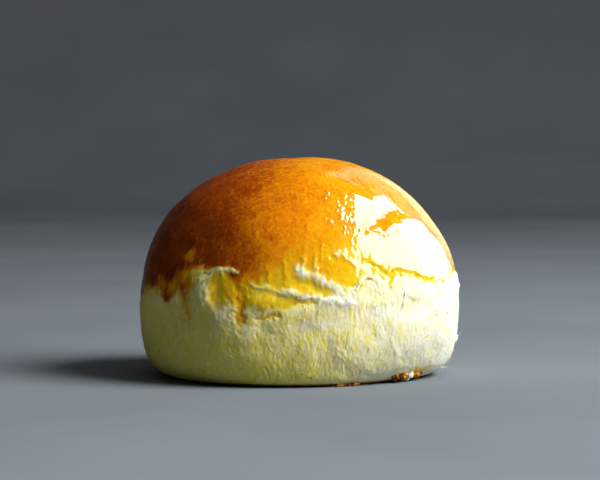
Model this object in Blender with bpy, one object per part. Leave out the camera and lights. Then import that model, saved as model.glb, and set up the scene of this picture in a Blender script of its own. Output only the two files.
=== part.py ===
"""Brioche bun, pulled from the batch it was baked in.

A glazed, browned crust domes over pale sides, which were torn from the neighbouring buns. The crust ends
in a ragged edge: tongues of stretched skin hang down between tears. Along the edge the crust dips into a
groove, and the torn crumb swells out below it.
The bun stands on its flat baked foot, with its shown side towards -Y and its middle over the origin.
It is bread all through, so it is one solid. Blender 4.5, metres, +Z up.
"""

import math

import bmesh
import bpy
import numpy as np

MM = 0.001

# Size of the whole bun, and the heights and radius that set its side view
WIDTH = 75 * MM
DEPTH = 72.5 * MM
HEIGHT = 51 * MM
BELLY_RADIUS = WIDTH / 2
BELLY_HEIGHT = 15 * MM
FOOT_RADIUS = 28.5 * MM

# Roundness of the outlines, as exponents: 2 is an ellipse, and more is squarer
DOME_EXPONENT = 2.2
UNDERSIDE_EXPONENT = 2.6
PLAN_EXPONENT = 2.18
PLAN_TURN = math.radians(12)

# The foot draws in on the front right, so the underside curls up off the table there
CURL_AZIMUTH = math.radians(-42)
CURL_SPREAD = math.radians(28)
CURL = 3.2 * MM

# Height of the crust's ragged edge, and its tongues: azimuth from +X and half width in degrees, then
# how far the tongue hangs below that height. A negative drop is a tear that runs up into the crust.
EDGE_HEIGHT = 23.5 * MM
FRONT_TONGUES = (
    (178, 22, 6.0 * MM),
    (-128, 12, -3.8 * MM),
    (-109.5, 5, 7.2 * MM),
    (-90, 15, 4.0 * MM),
    (-64, 5, -3.6 * MM),
    (-50, 9, -1.0 * MM),
    (-24, 10, 1.2 * MM),
    (-4, 8, -1.2 * MM),
)
BACK_TONGUES = 7
BACK_FROM = 18
BACK_TO = 148
BACK_DROP = 3.2 * MM
BACK_SEED = 5

# Section through the crust's edge: the crust dips into a groove, and the torn crumb swells out below it
GROOVE_DEPTH = 1.2 * MM
GROOVE_SPREAD = 0.95 * MM
CREST_HEIGHT = 0.5 * MM
CREST_BELOW = 2.9 * MM
CREST_SPREAD = 2.4 * MM
OVERHANG = 0.75 * MM
OVERHANG_AT = 0.9 * MM
OVERHANG_SPREAD = 0.9 * MM

# Pleats in the torn crumb just under the crest, where the dough stretched before it tore
PLEAT_PITCH = 3.1 * MM
PLEAT_HEIGHT = 0.2 * MM
PLEAT_REACH = 9 * MM

# Unevenness: distance between bumps, height, and the seed of their directions. The torn sides are
# fibrous, so their bumps are stretched upwards.
DOME_SWELL = (46 * MM, 0.3 * MM, 26)
BODY_SWELL = (19 * MM, 0.13 * MM, 8)
TORN_SWELL = (6.5 * MM, 0.17 * MM, 21)
TORN_STRETCH = (1, 1, 0.5)
SWELL_WAVES = 14

# The surface's net: columns round the bun, and bands from the foot's middle to the top of the dome
COLUMNS = 120
FOOT_BANDS = 3
SIDE_BANDS = 17
EDGE_BANDS = 10
DOME_BANDS = 15
EDGE_BELOW = 4.8 * MM
EDGE_ABOVE = 3.0 * MM
PROFILE_POINTS = 600

# Finishes: colour, roughness and where each one lies on the surface
CRUST = ("glazed_crust", (0.56, 0.20, 0.03, 1.0), 0.28)
SKIN = ("stretched_skin", (0.78, 0.50, 0.10, 1.0), 0.42)
CRUMB = ("torn_crumb", (0.87, 0.78, 0.50, 1.0), 0.85)
FOOT = ("baked_foot", (0.50, 0.25, 0.08, 1.0), 0.7)


def bell(distance, spread):
    """A smooth bump of height 1 that fades over the spread."""
    return np.exp(-((distance / spread) ** 2))


def ramp(value, low, high):
    """Rises smoothly from 0 at low to 1 at high."""
    share = np.clip((value - low) / (high - low), 0, 1)
    return share * share * (3 - 2 * share)


def turn_between(azimuth, centre):
    """The angle from centre to azimuth, between minus and plus half a turn."""
    return (azimuth - centre + math.pi) % (2 * math.pi) - math.pi


def swell(points, bump):
    """Smooth unevenness over the surface: a sum of plane waves in directions drawn from a seed."""
    spacing, height, seed = bump
    draw = np.random.default_rng(seed)
    directions = draw.normal(size=(SWELL_WAVES, 3))
    directions /= np.linalg.norm(directions, axis=1, keepdims=True)
    phases = draw.uniform(0, 2 * math.pi, SWELL_WAVES)
    waves = np.cos(points @ directions.T * (2 * math.pi / spacing) + phases)
    return height * waves.sum(axis=1) * math.sqrt(2 / SWELL_WAVES)


def tongues():
    """All the tongues: those of the front as listed, and those of the back drawn from a seed."""
    draw = np.random.default_rng(BACK_SEED)
    spacing = (BACK_TO - BACK_FROM) / BACK_TONGUES
    found = list(FRONT_TONGUES)
    for number in range(BACK_TONGUES):
        azimuth = BACK_FROM + spacing * (number + draw.uniform(0.2, 0.8))
        hangs = 1 if number % 2 else -0.8
        found.append((azimuth, spacing * draw.uniform(0.35, 0.6), hangs * BACK_DROP * draw.uniform(0.5, 1)))
    return found


def crust_edge_height(azimuth):
    """Height of the crust's edge at each azimuth."""
    height = np.full_like(azimuth, EDGE_HEIGHT)
    for centre, half_width, drop in tongues():
        height -= drop * bell(turn_between(azimuth, math.radians(centre)), math.radians(half_width))
    return height


def tear_strength(azimuth):
    """How deep the tear at the edge is at each azimuth, from about 0.3 to 1, as a slow wave round the bun."""
    return 0.65 + 0.22 * np.cos(2 * azimuth + 1.6) + 0.13 * np.cos(5 * azimuth + 0.4)


def meridian():
    """Radius and height along one side of the bun, from the foot's middle to the top, with arc length."""
    angle = np.linspace(0, math.pi / 2, PROFILE_POINTS)
    rounded = 2 / UNDERSIDE_EXPONENT
    under_radius = FOOT_RADIUS + (BELLY_RADIUS - FOOT_RADIUS) * np.sin(angle) ** rounded
    under_height = BELLY_HEIGHT * (1 - np.cos(angle) ** rounded)
    domed = 2 / DOME_EXPONENT
    dome_radius = BELLY_RADIUS * np.cos(angle) ** domed
    dome_height = BELLY_HEIGHT + (HEIGHT - BELLY_HEIGHT) * np.sin(angle) ** domed
    radius = np.concatenate([[0], under_radius, dome_radius[1:]])
    height = np.concatenate([[0], under_height, dome_height[1:]])
    radius[-1] = 0
    arc = np.concatenate([[0], np.cumsum(np.hypot(np.diff(radius), np.diff(height)))])
    return radius, height, arc


def arc_of_bands(band, azimuth, profile):
    """Arc length at each band and azimuth: bands crowd at the crust's edge and follow it round the bun."""
    _, height, arc = profile
    edge = np.interp(crust_edge_height(azimuth), height, arc)
    stops = (
        (0, np.zeros_like(edge)),
        (FOOT_BANDS, np.full_like(edge, FOOT_RADIUS)),
        (FOOT_BANDS + SIDE_BANDS, edge - EDGE_BELOW),
        (FOOT_BANDS + SIDE_BANDS + EDGE_BANDS, edge + EDGE_ABOVE),
        (FOOT_BANDS + SIDE_BANDS + EDGE_BANDS + DOME_BANDS, np.full_like(edge, arc[-1])),
    )
    found = np.zeros_like(edge)
    for (first, start), (last, end) in zip(stops, stops[1:]):
        inside = (band >= first) & (band <= last)
        share = (band - first) / (last - first)
        found = np.where(inside, start + (end - start) * share, found)
    return found, edge


def plan_scale(azimuth, height):
    """Squareness seen from above: the sides pressed on their neighbours, and the dome rose round."""
    exponent = 2 + (PLAN_EXPONENT - 2) * (1 - ramp(height, BELLY_HEIGHT, HEIGHT * 0.8))
    turned = azimuth - PLAN_TURN
    across, along = np.abs(np.cos(turned)), np.abs(np.sin(turned))
    return (across**exponent + along**exponent) ** (-1 / exponent)


def curl(azimuth, height):
    """How far the underside draws in where it curls up off the table."""
    curled = bell(turn_between(azimuth, CURL_AZIMUTH), CURL_SPREAD)
    return CURL * curled * (1 - ramp(height, 0, BELLY_HEIGHT))


def relief(points, azimuth, above_edge, height):
    """How far each point stands out from the plain body."""
    torn = 1 - ramp(above_edge, -CREST_BELOW, 0)
    strength = tear_strength(azimuth)
    out = swell(points, DOME_SWELL) + swell(points, BODY_SWELL)
    out += torn * swell(points * TORN_STRETCH, TORN_SWELL)
    out += CREST_HEIGHT * strength * bell(above_edge + CREST_BELOW, CREST_SPREAD)
    out -= GROOVE_DEPTH * strength * bell(above_edge, GROOVE_SPREAD)
    pleated = torn * ramp(above_edge, -PLEAT_REACH, -CREST_BELOW) * (0.5 + 0.5 * np.cos(2 * azimuth + 1.4))
    out += PLEAT_HEIGHT * pleated * np.cos(above_edge * (2 * math.pi / PLEAT_PITCH))
    return out * ramp(height, 0.4 * MM, 4 * MM)


def bun_points(band, azimuth):
    """The surface point of each band and azimuth, and how far it lies above the crust's edge."""
    profile = meridian()
    radii, heights, arcs = profile
    arc, edge = arc_of_bands(band, azimuth, profile)
    above_edge = arc - edge
    arc = arc - OVERHANG * tear_strength(azimuth) * bell(above_edge - OVERHANG_AT, OVERHANG_SPREAD)
    radius, height = np.interp(arc, arcs, radii), np.interp(arc, arcs, heights)
    step = 0.2 * MM
    slope_radius = np.interp(arc + step, arcs, radii) - np.interp(arc - step, arcs, radii)
    slope_height = np.interp(arc + step, arcs, heights) - np.interp(arc - step, arcs, heights)
    length = np.maximum(np.hypot(slope_radius, slope_height), 1e-9)
    outward, upward = slope_height / length, -slope_radius / length
    radius = radius * plan_scale(azimuth, height) - curl(azimuth, height) * ramp(radius, 0, FOOT_RADIUS)
    round_x, round_y = np.cos(azimuth), np.sin(azimuth)
    points = np.stack([radius * round_x, radius * round_y, height], axis=1)
    out = relief(points, azimuth, above_edge, height)
    normals = np.stack([outward * round_x, outward * round_y, upward], axis=1)
    return points + normals * out[:, None], above_edge


def fitted(points):
    """The points moved and scaled to the bun's width, depth and height, standing on z = 0."""
    low, high = points.min(axis=0), points.max(axis=0)
    size = np.array([WIDTH, DEPTH, HEIGHT])
    middle = np.array([(low[0] + high[0]) / 2, (low[1] + high[1]) / 2, low[2]])
    return (points - middle) * (size / (high - low))


def material(name, colour, roughness):
    """A Principled material of one colour."""
    made = bpy.data.materials.new(name)
    made.use_nodes = True
    shader = made.node_tree.nodes["Principled BSDF"]
    shader.inputs["Base Color"].default_value = colour
    shader.inputs["Roughness"].default_value = roughness
    shader.inputs["Metallic"].default_value = 0.0
    return made


def clear_scene():
    """Removes the objects that the file opens with."""
    for obj in list(bpy.data.objects):
        bpy.data.objects.remove(obj)


def sphere_object(name, columns, bands):
    """A new object with a unit sphere's net: columns round it, and bands from pole to pole."""
    net = bmesh.new()
    bmesh.ops.create_uvsphere(net, u_segments=columns, v_segments=bands, radius=1)
    mesh = bpy.data.meshes.new(name)
    net.to_mesh(mesh)
    net.free()
    return bpy.data.objects.new(name, mesh)


def shape_bun(obj, bands):
    """Moves each point of the sphere's net to its place on the bun, and paints the faces."""
    mesh = obj.data
    flat = np.empty(len(mesh.vertices) * 3)
    mesh.vertices.foreach_get("co", flat)
    unit = flat.reshape(-1, 3)
    band = np.round(np.arccos(np.clip(-unit[:, 2], -1, 1)) / math.pi * bands)
    azimuth = np.arctan2(unit[:, 1], unit[:, 0])
    points, above_edge = bun_points(band, azimuth)
    mesh.vertices.foreach_set("co", fitted(points).ravel())
    for finish in (CRUST, SKIN, CRUMB, FOOT):
        mesh.materials.append(material(*finish))
    for face in mesh.polygons:
        corners = list(face.vertices)
        if band[corners].max() <= FOOT_BANDS:
            face.material_index = 3
        elif above_edge[corners].mean() < 0:
            face.material_index = 2
        else:
            face.material_index = 1 if above_edge[corners].mean() < EDGE_ABOVE else 0
    mesh.shade_smooth()
    mesh.update()


def main():
    """Builds the bun in a collection of its own."""
    clear_scene()
    collection = bpy.data.collections.new("brioche_bun")
    bpy.context.scene.collection.children.link(collection)
    bands = FOOT_BANDS + SIDE_BANDS + EDGE_BANDS + DOME_BANDS
    bun = sphere_object("bun", COLUMNS, bands)
    shape_bun(bun, bands)
    collection.objects.link(bun)


main()
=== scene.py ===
"""The looks of a brioche bun, pulled from the batch it was baked in.

A glossy crust, the torn crumb below it, loose fibres and caramelised bits are surfaces worked out with
numpy over the same form as the solid. Lengths are in metres, and in millimetres in the tables of marks,
bells and lumps and for the cells of noise. Azimuths run from +X, and the shown side faces -Y.
"""

import logging
import math
from dataclasses import dataclass
from enum import Enum

import bpy
import numpy as np
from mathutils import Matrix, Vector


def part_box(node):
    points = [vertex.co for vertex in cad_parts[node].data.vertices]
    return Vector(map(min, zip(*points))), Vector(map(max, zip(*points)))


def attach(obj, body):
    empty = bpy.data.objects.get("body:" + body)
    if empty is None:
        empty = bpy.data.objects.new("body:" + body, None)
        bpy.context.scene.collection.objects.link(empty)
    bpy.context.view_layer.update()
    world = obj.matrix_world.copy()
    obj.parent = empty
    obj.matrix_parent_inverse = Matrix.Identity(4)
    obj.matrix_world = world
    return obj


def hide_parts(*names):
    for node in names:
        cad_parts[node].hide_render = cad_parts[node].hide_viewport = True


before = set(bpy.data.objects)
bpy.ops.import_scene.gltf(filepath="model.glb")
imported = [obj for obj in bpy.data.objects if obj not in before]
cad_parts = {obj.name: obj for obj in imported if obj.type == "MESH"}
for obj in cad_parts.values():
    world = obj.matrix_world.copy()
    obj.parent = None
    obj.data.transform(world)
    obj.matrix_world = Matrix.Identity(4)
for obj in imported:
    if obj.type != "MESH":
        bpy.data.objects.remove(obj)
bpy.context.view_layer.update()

MM = 0.001
NODE = "bun"
BODY = "root"

# Radii at which a turn becomes a length, for marks and for the search of the nearest place.
SIDE_RADIUS = 36 * MM
BELLY_RADIUS = 37 * MM

# Heights of the middle that normals point away from, and of the point that the lights face.
MIDDLE_HEIGHT = 15 * MM
AIM_HEIGHT = 25 * MM

# The side on which the nets' columns crowd, and how much.
SHOWN = math.radians(-78)
CROWDING = 0.3

Array = np.ndarray
Colour = tuple[float, float, float]
Size = float | tuple[float, float, float]
Bells = tuple[tuple[float, float, float], ...]

logging.basicConfig(level=logging.INFO, format="%(levelname)s %(message)s")
log = logging.getLogger("brioche_bun")


class Slot(Enum):
    """The record's material slots."""

    CRUST = "glazed_crust"
    CRUMB = "torn_crumb"
    BAKED = "baked_bits"


def bell(distance: Array, spread: Array | float) -> Array:
    """A smooth bump of height 1 that fades over the spread."""
    return np.exp(-((distance / spread) ** 2))


def ramp(value: Array, low: Array | float, high: Array | float) -> Array:
    """Rises smoothly from 0 at low to 1 at high, by the cubic 3t^2 - 2t^3."""
    share = np.clip((value - low) / (high - low), 0, 1)
    return share * share * (3 - 2 * share)


def turn_between(azimuth: Array, centre: float) -> Array:
    """The angle from centre to azimuth in radians, between minus and plus half a turn."""
    return (azimuth - centre + math.pi) % (2 * math.pi) - math.pi


def bells(rows: Bells, azimuth: Array) -> Array:
    """The sum of bells, each row giving the middle and half width in degrees and the height in mm."""
    found = np.zeros_like(azimuth)
    for middle, half_width, height in rows:
        found += height * MM * bell(turn_between(azimuth, math.radians(middle)), math.radians(half_width))
    return found


def azimuths(columns: int) -> Array:
    """Azimuths round the bun, closer together on the shown side: even steps less a sine of the way round."""
    turn = np.linspace(-math.pi, math.pi, columns, endpoint=False)
    return turn - CROWDING * np.sin(turn - SHOWN)


def unit(vectors: Array) -> Array:
    """The vectors scaled to length 1."""
    return vectors / np.maximum(np.linalg.norm(vectors, axis=-1, keepdims=True), 1e-12)


@dataclass(frozen=True)
class Noise:
    """Smooth gradient noise in space. One seed gives the same field each run."""

    seed: int

    def at(self, points: Array) -> Array:
        """The noise at each point, about -1 to 1, with a cell one unit wide.

        Each corner of the point's cell has a random slope. The value is the mean of the eight slopes'
        heights at the point, weighted by a quintic fade towards each corner.

        Args:
            points: positions, with x, y and z along the last axis.

        Returns:
            One value for each position.
        """
        draw = np.random.default_rng(self.seed)
        table = draw.permutation(256)
        slopes = unit(draw.normal(size=(256, 3)))
        cell = np.floor(points).astype(np.int64)
        part = points - cell
        fade = part**3 * (part * (part * 6 - 15) + 10)
        total = np.zeros(points.shape[:-1])
        for corner in np.ndindex(2, 2, 2):
            step = np.array(corner)
            key = (cell + step) & 255
            index = table[(table[(table[key[..., 0]] + key[..., 1]) & 255] + key[..., 2]) & 255]
            height = np.sum(slopes[index] * (part - step), axis=-1)
            total += height * np.prod(np.where(step == 1, fade, 1 - fade), axis=-1)
        return 1.6 * total

    def over(self, points: Array, size: float | Array, layers: int = 1) -> Array:
        """Noise whose cells have the given size, with each further layer half as large and half as high.

        Args:
            points: positions.
            size: the cell's size in the same unit, one number or one for each axis.
            layers: how many layers are summed.

        Returns:
            One value for each position.
        """
        scaled = points / size
        return sum(Noise(self.seed + layer).at(scaled * 2**layer) / 2**layer for layer in range(layers))


@dataclass(frozen=True)
class Grain:
    """One size of noise on the bun. Its cell is in millimetres, and its height is a share or a length."""

    seed: int
    cell: Size
    height: float = 1.0
    layers: int = 1

    def at(self, points: Array) -> Array:
        """The grain's height at each point."""
        return self.height * Noise(self.seed).over(points, np.asarray(self.cell) * MM, self.layers)


@dataclass(frozen=True)
class Patch:
    """A soft-edged place on the bun, for a dent, a puff or a change of colour.

    Its middle and half width are azimuths in degrees. Its height, half height and tilt are in millimetres,
    and the tilt is how far the middle rises for each degree.
    """

    azimuth: float
    height: float
    half_width: float
    half_height: float
    strength: float
    tilt: float = 0.0

    def cover(self, azimuth: Array, height: Array) -> Array:
        """How strongly the patch covers each point: a bell in azimuth times a bell in height."""
        turn = turn_between(azimuth, math.radians(self.azimuth))
        middle = self.height * MM + self.tilt * MM * np.degrees(turn)
        across = self.strength * bell(turn, math.radians(self.half_width))
        return across * bell(height - middle, self.half_height * MM)


@dataclass(frozen=True)
class Stroke:
    """A soft-edged line on the bun, for a crack, a ridge, a fold or a torn crest.

    Its points are azimuths in degrees and heights in millimetres, and its half width is in millimetres.
    """

    points: tuple[tuple[float, float], ...]
    half_width: float
    strength: float

    def cover(self, azimuth: Array, height: Array) -> Array:
        """How strongly the line covers each point: a bell of the distance to its nearest segment."""
        nearest = np.full_like(height, np.inf)
        for (from_turn, from_height), (to_turn, to_height) in zip(self.points, self.points[1:]):
            across = turn_between(azimuth, math.radians(from_turn)) * SIDE_RADIUS
            up = height - from_height * MM
            run, rise = math.radians(to_turn - from_turn) * SIDE_RADIUS, (to_height - from_height) * MM
            share = np.clip((across * run + up * rise) / (run**2 + rise**2), 0, 1)
            nearest = np.minimum(nearest, np.hypot(across - share * run, up - share * rise))
        return self.strength * bell(nearest, self.half_width * MM)


Marks = tuple[Patch | Stroke, ...]


def marks(*rows: tuple) -> Marks:
    """A stroke for each row that starts with a line's points, and a patch for each other row."""
    return tuple((Stroke if isinstance(row[0], tuple) else Patch)(*row) for row in rows)


def covers(marked: Marks, azimuth: Array, height: Array) -> Array:
    """The sum of what the marks do at each point."""
    return sum((mark.cover(azimuth, height) for mark in marked), np.zeros_like(height))


@dataclass(frozen=True)
class BunForm:
    """The bun's form: a superellipse turned round, uneven, with a groove and a crest along its edge.

    The edge is the crust's lower rim, and each tongue is a bell by which it hangs lower or stands higher.
    """

    belly_radius: float = 37.5 * MM
    belly_height: float = 15 * MM
    height: float = 51 * MM
    foot_radius: float = 28.5 * MM
    dome_exponent: float = 2.2
    underside_exponent: float = 2.6
    plan_exponent: float = 2.18
    plan_turn: float = math.radians(12)
    curl_azimuth: float = math.radians(-42)
    curl_spread: float = math.radians(28)
    curl_inward: float = 3.2 * MM
    edge_mean: float = 23.5 * MM
    front_tongues: Bells = (
        (178, 22, 6.0), (-128, 12, -3.8), (-109.5, 4, 1.6), (-90, 15, 4.0), (-64, 5, -3.6), (-50, 9, -1.0),
        (-24, 10, 1.2), (-4, 8, -1.2),
    )
    edge_details: Bells = (
        (-57.0, 1.7, 0.7), (-53.2, 1.5, -1.0), (-36.0, 3.0, 0.6), (-33.0, 1.5, -0.5), (-98.0, 3.0, -0.7),
        (-84.0, 2.0, 0.6), (-117.0, 4.0, -1.6), (-140.5, 4.6, 3.6), (-153.0, 2.5, -0.7),
    )
    back_tongues: int = 7
    back_from: float = 18
    back_to: float = 148
    back_drop: float = 3.2
    back_seed: int = 5
    groove_depth: float = 0.14 * MM
    groove_spread: float = 0.95 * MM
    crest_height: float = 0.3 * MM
    crest_below: float = 2.9 * MM
    crest_spread: float = 2.4 * MM
    overhang: float = 0.1 * MM
    overhang_at: float = 0.9 * MM
    overhang_spread: float = 0.9 * MM
    dome_swell: tuple[float, float, int] = (46 * MM, 0.3 * MM, 26)
    body_swell: tuple[float, float, int] = (19 * MM, 0.13 * MM, 8)
    swell_waves: int = 14
    profile_points: int = 4000

    def swell(self, points: Array, bump: tuple[float, float, int]) -> Array:
        """Smooth unevenness: a sum of plane waves in directions drawn from the bump's seed."""
        spacing, height, seed = bump
        draw = np.random.default_rng(seed)
        directions = unit(draw.normal(size=(self.swell_waves, 3)))
        phases = draw.uniform(0, 2 * math.pi, self.swell_waves)
        waves = np.cos(points @ directions.T * (2 * math.pi / spacing) + phases)
        return height * waves.sum(axis=-1) * math.sqrt(2 / self.swell_waves)

    def tongues(self) -> Bells:
        """All tongues of the edge: the front's as listed, and the back's drawn from a seed."""
        draw = np.random.default_rng(self.back_seed)
        spacing = (self.back_to - self.back_from) / self.back_tongues
        found = [*self.front_tongues, *self.edge_details]
        for number in range(self.back_tongues):
            azimuth = self.back_from + spacing * (number + draw.uniform(0.2, 0.8))
            hangs = 1 if number % 2 else -0.8
            width = spacing * draw.uniform(0.35, 0.6)
            found.append((azimuth, width, hangs * self.back_drop * draw.uniform(0.5, 1)))
        return tuple(found)

    def edge_height(self, azimuth: Array) -> Array:
        """Height of the crust's edge at each azimuth: its mean, less a bell for each tongue."""
        return self.edge_mean - bells(self.tongues(), azimuth)

    def tear_strength(self, azimuth: Array) -> Array:
        """How deep the tear at the edge is, from about 0.3 to 1, as a slow wave round the bun."""
        return 0.65 + 0.22 * np.cos(2 * azimuth + 1.6) + 0.13 * np.cos(5 * azimuth + 0.4)

    def meridian(self) -> tuple[Array, Array, Array]:
        """Radius, height and arc length along one side, from the foot's middle to the top of the dome."""
        angle = np.linspace(0, math.pi / 2, self.profile_points)
        rounded, domed = 2 / self.underside_exponent, 2 / self.dome_exponent
        under_radius = self.foot_radius + (self.belly_radius - self.foot_radius) * np.sin(angle) ** rounded
        under_height = self.belly_height * (1 - np.cos(angle) ** rounded)
        dome_radius = self.belly_radius * np.clip(np.cos(angle), 0, 1) ** domed
        dome_height = self.belly_height + (self.height - self.belly_height) * np.sin(angle) ** domed
        radius = np.concatenate([[0], under_radius, dome_radius[1:]])
        height = np.concatenate([[0], under_height, dome_height[1:]])
        arc = np.concatenate([[0], np.cumsum(np.hypot(np.diff(radius), np.diff(height)))])
        return radius, height, arc

    def edge_arc(self, azimuth: Array) -> Array:
        """Arc length at which the crust's edge lies, at each azimuth."""
        _, height, arc = self.meridian()
        return np.interp(self.edge_height(azimuth), height, arc)

    def plan_scale(self, azimuth: Array, height: Array) -> Array:
        """Squareness seen from above, which fades out up the dome, by the superellipse's polar radius."""
        exponent = 2 + (self.plan_exponent - 2) * (1 - ramp(height, self.belly_height, self.height * 0.8))
        turned = azimuth - self.plan_turn
        across, along = np.abs(np.cos(turned)), np.abs(np.sin(turned))
        return (across**exponent + along**exponent) ** (-1 / exponent)

    def surface(self, azimuth: Array, arc: Array) -> Array:
        """The bun's surface at each azimuth and arc length, before it is fitted to the solid's box.

        The meridian is read at the arc, turned to the azimuth and squared off in plan. Then it moves out
        along its normal by the swells and the crest, and in by the groove along the edge.

        Args:
            azimuth: angles in radians.
            arc: arc lengths along the meridian, of the same shape.

        Returns:
            Positions, with x, y and z along the last axis.
        """
        radii, heights, arcs = self.meridian()
        above = arc - self.edge_arc(azimuth)
        strength = self.tear_strength(azimuth)
        arc = arc - self.overhang * strength * bell(above - self.overhang_at, self.overhang_spread)
        radius, height = np.interp(arc, arcs, radii), np.interp(arc, arcs, heights)
        step = 0.2 * MM
        run = np.interp(arc + step, arcs, radii) - np.interp(arc - step, arcs, radii)
        rise = np.interp(arc + step, arcs, heights) - np.interp(arc - step, arcs, heights)
        slope = unit(np.stack([rise, -run], axis=-1))
        curl = bell(turn_between(azimuth, self.curl_azimuth), self.curl_spread)
        curl = self.curl_inward * curl * (1 - ramp(height, 0, self.belly_height))
        radius = radius * self.plan_scale(azimuth, height) - curl * ramp(radius, 0, self.foot_radius)
        points = np.stack([radius * np.cos(azimuth), radius * np.sin(azimuth), height], axis=-1)
        out = self.swell(points, self.dome_swell) + self.swell(points, self.body_swell)
        out += self.crest_height * strength * bell(above + self.crest_below, self.crest_spread)
        out -= self.groove_depth * strength * bell(above, self.groove_spread)
        out *= ramp(height, 0.4 * MM, 4 * MM)
        outward, upward = slope[..., 0] * out, slope[..., 1] * out
        return points + np.stack([outward * np.cos(azimuth), outward * np.sin(azimuth), upward], axis=-1)


class Fit:
    """Scales and moves the form so that its box is the solid's."""

    def __init__(self, form: BunForm) -> None:
        """Measures the form on a coarse net, as the solid's own net does.

        Args:
            form: the bun's form.
        """
        arc, azimuth = np.meshgrid(np.linspace(0, form.meridian()[2][-1], 90),
                                   np.linspace(-math.pi, math.pi, 120, endpoint=False), indexing="ij")
        points = form.surface(azimuth, arc).reshape(-1, 3)
        low, high = (np.array(corner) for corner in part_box(NODE))
        self.scale = (high - low) / (points.max(axis=0) - points.min(axis=0))
        self.shift = low - points.min(axis=0) * self.scale

    def apply(self, points: Array) -> Array:
        """The points moved into the solid's box."""
        return points * self.scale + self.shift


def grid_normals(points: Array) -> Array:
    """Normals of a net whose columns run round the bun and close, by the cross product of its slopes."""
    across = np.roll(points, -1, axis=1) - np.roll(points, 1, axis=1)
    return unit(np.cross(across, np.gradient(points, axis=0)))


def outward_normals(points: Array) -> Array:
    """Normals of a net round the bun, each turned so that it points away from the bun's middle."""
    normals = grid_normals(points)
    away = points - np.array([0, 0, MIDDLE_HEIGHT])
    return normals * np.where(np.sum(normals * away, axis=-1, keepdims=True) > 0, 1, -1)


def nearest(points: Array, azimuth: float, height: float) -> tuple[int, int]:
    """Row and column of the net's point that is nearest to an azimuth and a height."""
    turn = turn_between(np.arctan2(points[..., 1], points[..., 0]), azimuth)
    away = np.abs(turn) * BELLY_RADIUS + np.abs(points[..., 2] - height)
    return np.unravel_index(np.argmin(away), away.shape)


def closed_mesh(name: str, rows: Array, values: dict[str, Array]) -> bpy.types.Object:
    """An object whose net is closed by a point at each pole.

    Args:
        name: the object's name.
        rows: positions in rows and columns. The columns run anticlockwise and close, and the rows run
            from the first pole to the last with the outside on their right.
        values: attributes by name, one value for each position.

    Returns:
        The object, in the scene.
    """
    height, width = rows.shape[:2]
    count = height * width
    points = np.concatenate([rows.reshape(-1, 3), rows[0].mean(axis=0)[None], rows[-1].mean(axis=0)[None]])
    index = np.arange(count).reshape(height, width)
    beside = np.roll(index, -1, axis=1)
    quads = np.stack([index[:-1], beside[:-1], beside[1:], index[1:]], axis=-1).reshape(-1, 4)
    first = np.stack([beside[0], index[0], np.full(width, count)], axis=-1)
    last = np.stack([index[-1], beside[-1], np.full(width, count + 1)], axis=-1)
    mesh = mesh_of(name, points, quads, np.concatenate([first, last]))
    for key, value in values.items():
        give(mesh, key, np.concatenate([value.ravel(), [value[0].mean(), value[-1].mean()]]))
    return placed(mesh)


def tubes(name: str, grid: Array) -> bpy.types.Mesh:
    """One mesh of many tubes or balls, each with its rings joined in turn and a fan at both ends."""
    number, rings, sides = grid.shape[:3]
    index = np.arange(number * rings * sides).reshape(number, rings, sides)
    beside = np.roll(index, -1, axis=2)
    quads = np.stack([index[:, :-1], beside[:, :-1], beside[:, 1:], index[:, 1:]], axis=-1).reshape(-1, 4)
    fan = range(1, sides - 1)
    bottom = [np.stack([index[:, 0, 0], index[:, 0, k + 1], index[:, 0, k]], axis=-1) for k in fan]
    top = [np.stack([index[:, -1, 0], index[:, -1, k], index[:, -1, k + 1]], axis=-1) for k in fan]
    return mesh_of(name, grid.reshape(-1, 3), quads, np.concatenate(bottom + top))


def give(mesh: bpy.types.Mesh, name: str, values: Array) -> None:
    """Lets the mesh carry a number at each point, which its finish reads."""
    mesh.attributes.new(name, "FLOAT", "POINT").data.foreach_set("value", values.ravel().astype(np.float32))


def mesh_of(name: str, points: Array, quads: Array, triangles: Array) -> bpy.types.Mesh:
    """A smooth mesh of the points, four-cornered faces and three-cornered faces."""
    mesh = bpy.data.meshes.new(name)
    corners = np.concatenate([quads.ravel(), triangles.ravel()]).astype(np.int32)
    quad_starts = np.arange(len(quads)) * 4
    triangle_starts = len(quads) * 4 + np.arange(len(triangles)) * 3
    mesh.vertices.add(len(points))
    mesh.vertices.foreach_set("co", np.ascontiguousarray(points, dtype=np.float32).ravel())
    mesh.loops.add(len(corners))
    mesh.loops.foreach_set("vertex_index", corners)
    mesh.polygons.add(len(quads) + len(triangles))
    mesh.polygons.foreach_set("loop_start", np.concatenate([quad_starts, triangle_starts]).astype(np.int32))
    mesh.update(calc_edges=True)
    mesh.validate()
    mesh.shade_smooth()
    return mesh


def placed(mesh: bpy.types.Mesh) -> bpy.types.Object:
    """A new object for the mesh, linked to the scene."""
    obj = bpy.data.objects.new(mesh.name, mesh)
    bpy.context.scene.collection.objects.link(obj)
    return obj


def dress(obj: bpy.types.Object, material: bpy.types.Material) -> bpy.types.Object:
    """Gives a piece its material, lets it ride on the bun's body and hides the solid, in whose place it
    stands.
    """
    obj.data.materials.append(material)
    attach(obj, BODY)
    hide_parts(NODE)
    return obj


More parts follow.
